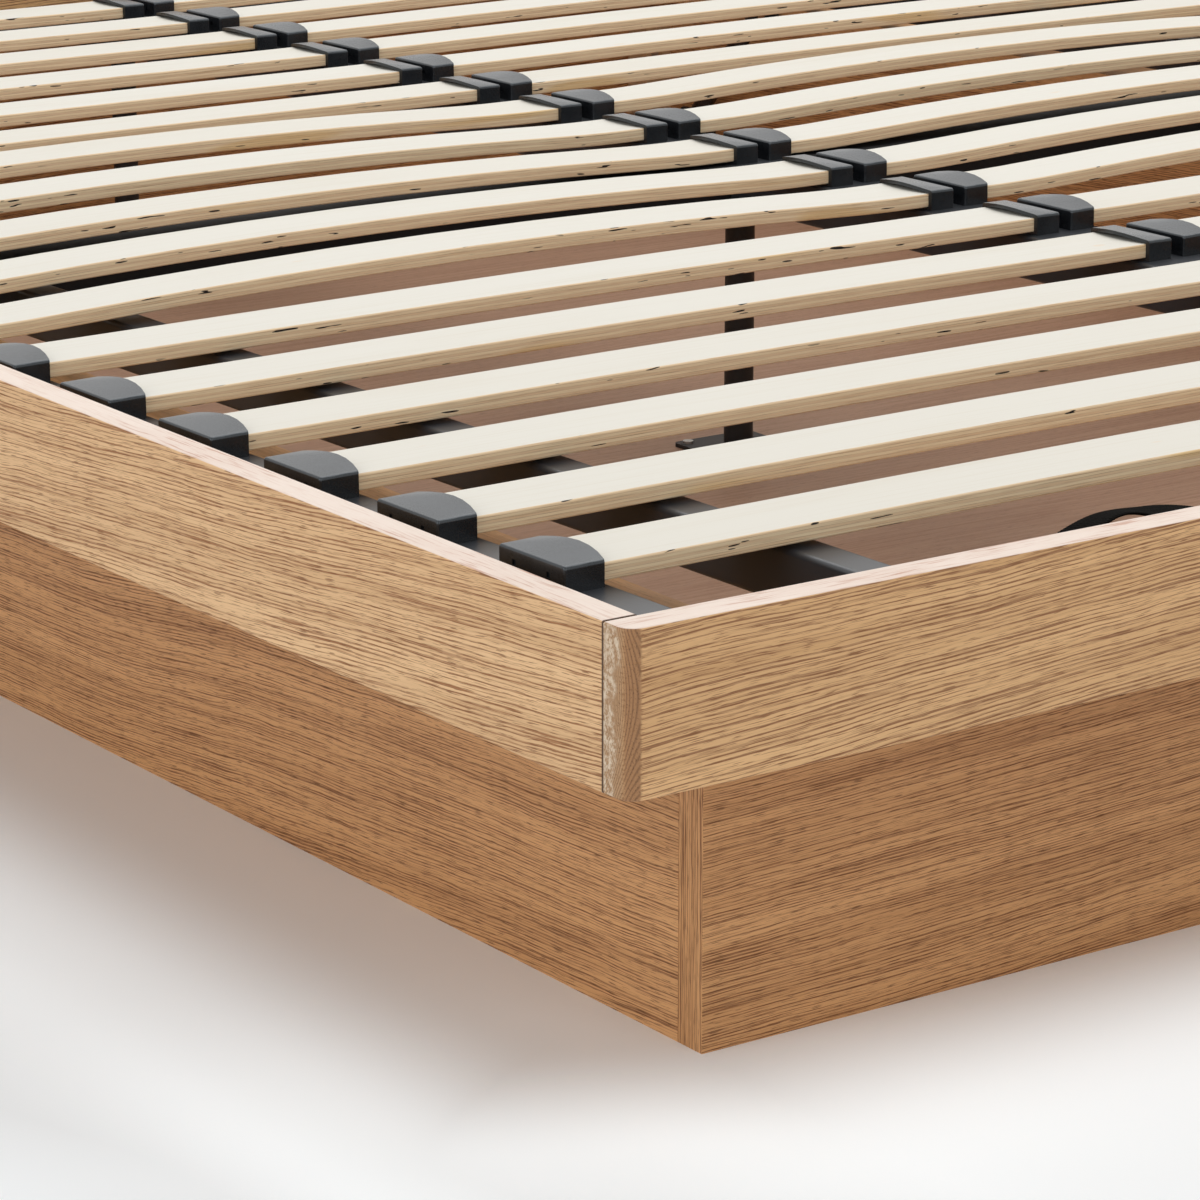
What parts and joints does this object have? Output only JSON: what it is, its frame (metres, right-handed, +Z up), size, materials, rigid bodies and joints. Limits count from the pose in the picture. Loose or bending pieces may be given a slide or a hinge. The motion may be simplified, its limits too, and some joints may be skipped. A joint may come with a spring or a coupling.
{
  "type": "storage bed base",
  "caption": "Oak storage bed base: a recessed plinth box carries a shallow rail tray, and a steel slat platform with end caps lifts from the foot on gas struts over a floor panel well.",
  "frame": {"origin": "on the ground below the middle of the bed", "axes": "+Z up, +Y from the foot end to the head end, +X to the right seen from the foot"},
  "size_m": [1.66, 2.06, 0.3119],
  "materials": {
    "oak_rail": "honey oak, matt lacquer, open pores",
    "oak_plinth": "oak veneer, matt lacquer",
    "ledge_board": "oak-look board",
    "floor_board": "brown wood-look panel",
    "softwood": "planed softwood",
    "slat_ply": "pale laminated slat",
    "cap_plastic": "black satin moulded plastic",
    "frame_steel": "satin dark grey powder coat",
    "black_steel": "black powder coat",
    "zinc_steel": "bright zinc plate",
    "pad_rubber": "black rubber",
    "strap_webbing": "black woven webbing",
    "strut_cylinder": "gloss black enamel",
    "strut_rod": "polished rod"
  },
  "bodies": {
    "base": {"foot_rail": "oak_rail", "head_rail": "oak_rail", "side_rail_left": "oak_rail", "side_rail_right": "oak_rail", "foot_plinth": "oak_plinth", "head_plinth": "oak_plinth", "side_plinth_left": "oak_plinth", "side_plinth_right": "oak_plinth", "foot_ledge": "ledge_board", "side_ledge_left": "ledge_board", "side_ledge_right": "ledge_board", "floor_panel_foot": "floor_board", "floor_panel_middle": "floor_board", "floor_panel_head": "floor_board", "floor_battens": "softwood", "plinth_corner_blocks": "softwood", "tray_plates": "zinc_steel", "base_screws": "zinc_steel", "rest_pads": "pad_rubber", "centre_posts": "black_steel", "post_plates": "black_steel", "post_pads": "pad_rubber", "hinge_plates": "black_steel", "hinge_pins": "zinc_steel", "strut_mounts": "black_steel"},
    "platform": {"side_tube_left": "frame_steel", "side_tube_right": "frame_steel", "foot_tube": "frame_steel", "head_tube": "frame_steel", "centre_beam": "frame_steel", "inner_beam_left": "frame_steel", "inner_beam_right": "frame_steel", "mid_cross_tubes": "frame_steel", "tube_end_plugs": "cap_plastic", "slat_row_01": "slat_ply", "slat_row_02": "slat_ply", "slat_row_03": "slat_ply", "slat_row_04": "slat_ply", "slat_row_05": "slat_ply", "slat_row_06": "slat_ply", "slat_row_07": "slat_ply", "slat_row_08": "slat_ply", "slat_row_09": "slat_ply", "slat_row_10": "slat_ply", "slat_row_11": "slat_ply", "slat_row_12": "slat_ply", "slat_row_13": "slat_ply", "slat_row_14": "slat_ply", "slat_row_15": "slat_ply", "slat_row_16": "slat_ply", "slat_row_17": "slat_ply", "side_caps": "cap_plastic", "centre_caps": "cap_plastic", "pull_straps": "strap_webbing", "strap_screws": "zinc_steel", "strut_lugs": "frame_steel"},
    "strut_cylinder_left": {"gas_cylinder_left": "strut_cylinder"},
    "strut_rod_left": {"gas_rod_left": "strut_rod"},
    "strut_cylinder_right": {"gas_cylinder_right": "strut_cylinder"},
    "strut_rod_right": {"gas_rod_right": "strut_rod"}
  },
  "joints": [
    {"name": "platform_lift", "type": "hinge", "parent": "base", "child": "platform", "pos_m": [0, 0.988, 0.2554], "axis": [-1, 0, 0], "range_deg": [-0.74, 40]},
    {"name": "strut_swing_left", "type": "hinge", "parent": "base", "child": "strut_cylinder_left", "pos_m": [-0.622, 0.9298, 0.091], "axis": [-1, 0, 0], "range_deg": [-0.5, 20.5]},
    {"name": "strut_slide_left", "type": "slide", "parent": "strut_cylinder_left", "child": "strut_rod_left", "axis": [0, -0.6406, 0.7679], "range_m": [-0.003, 0.096]},
    {"name": "strut_swing_right", "type": "hinge", "parent": "base", "child": "strut_cylinder_right", "pos_m": [0.622, 0.9298, 0.091], "axis": [-1, 0, 0], "range_deg": [-0.5, 20.5]},
    {"name": "strut_slide_right", "type": "slide", "parent": "strut_cylinder_right", "child": "strut_rod_right", "axis": [0, -0.6406, 0.7679], "range_m": [-0.003, 0.096]}
  ],
  "couplings": [
    {"joint": "strut_swing_left", "follows": "platform_lift", "ratio": 0.5},
    {"joint": "strut_slide_left", "follows": "platform_lift", "m_per_rad": 0.13195},
    {"joint": "strut_swing_right", "follows": "platform_lift", "ratio": 0.5},
    {"joint": "strut_slide_right", "follows": "platform_lift", "m_per_rad": 0.13195}
  ]
}
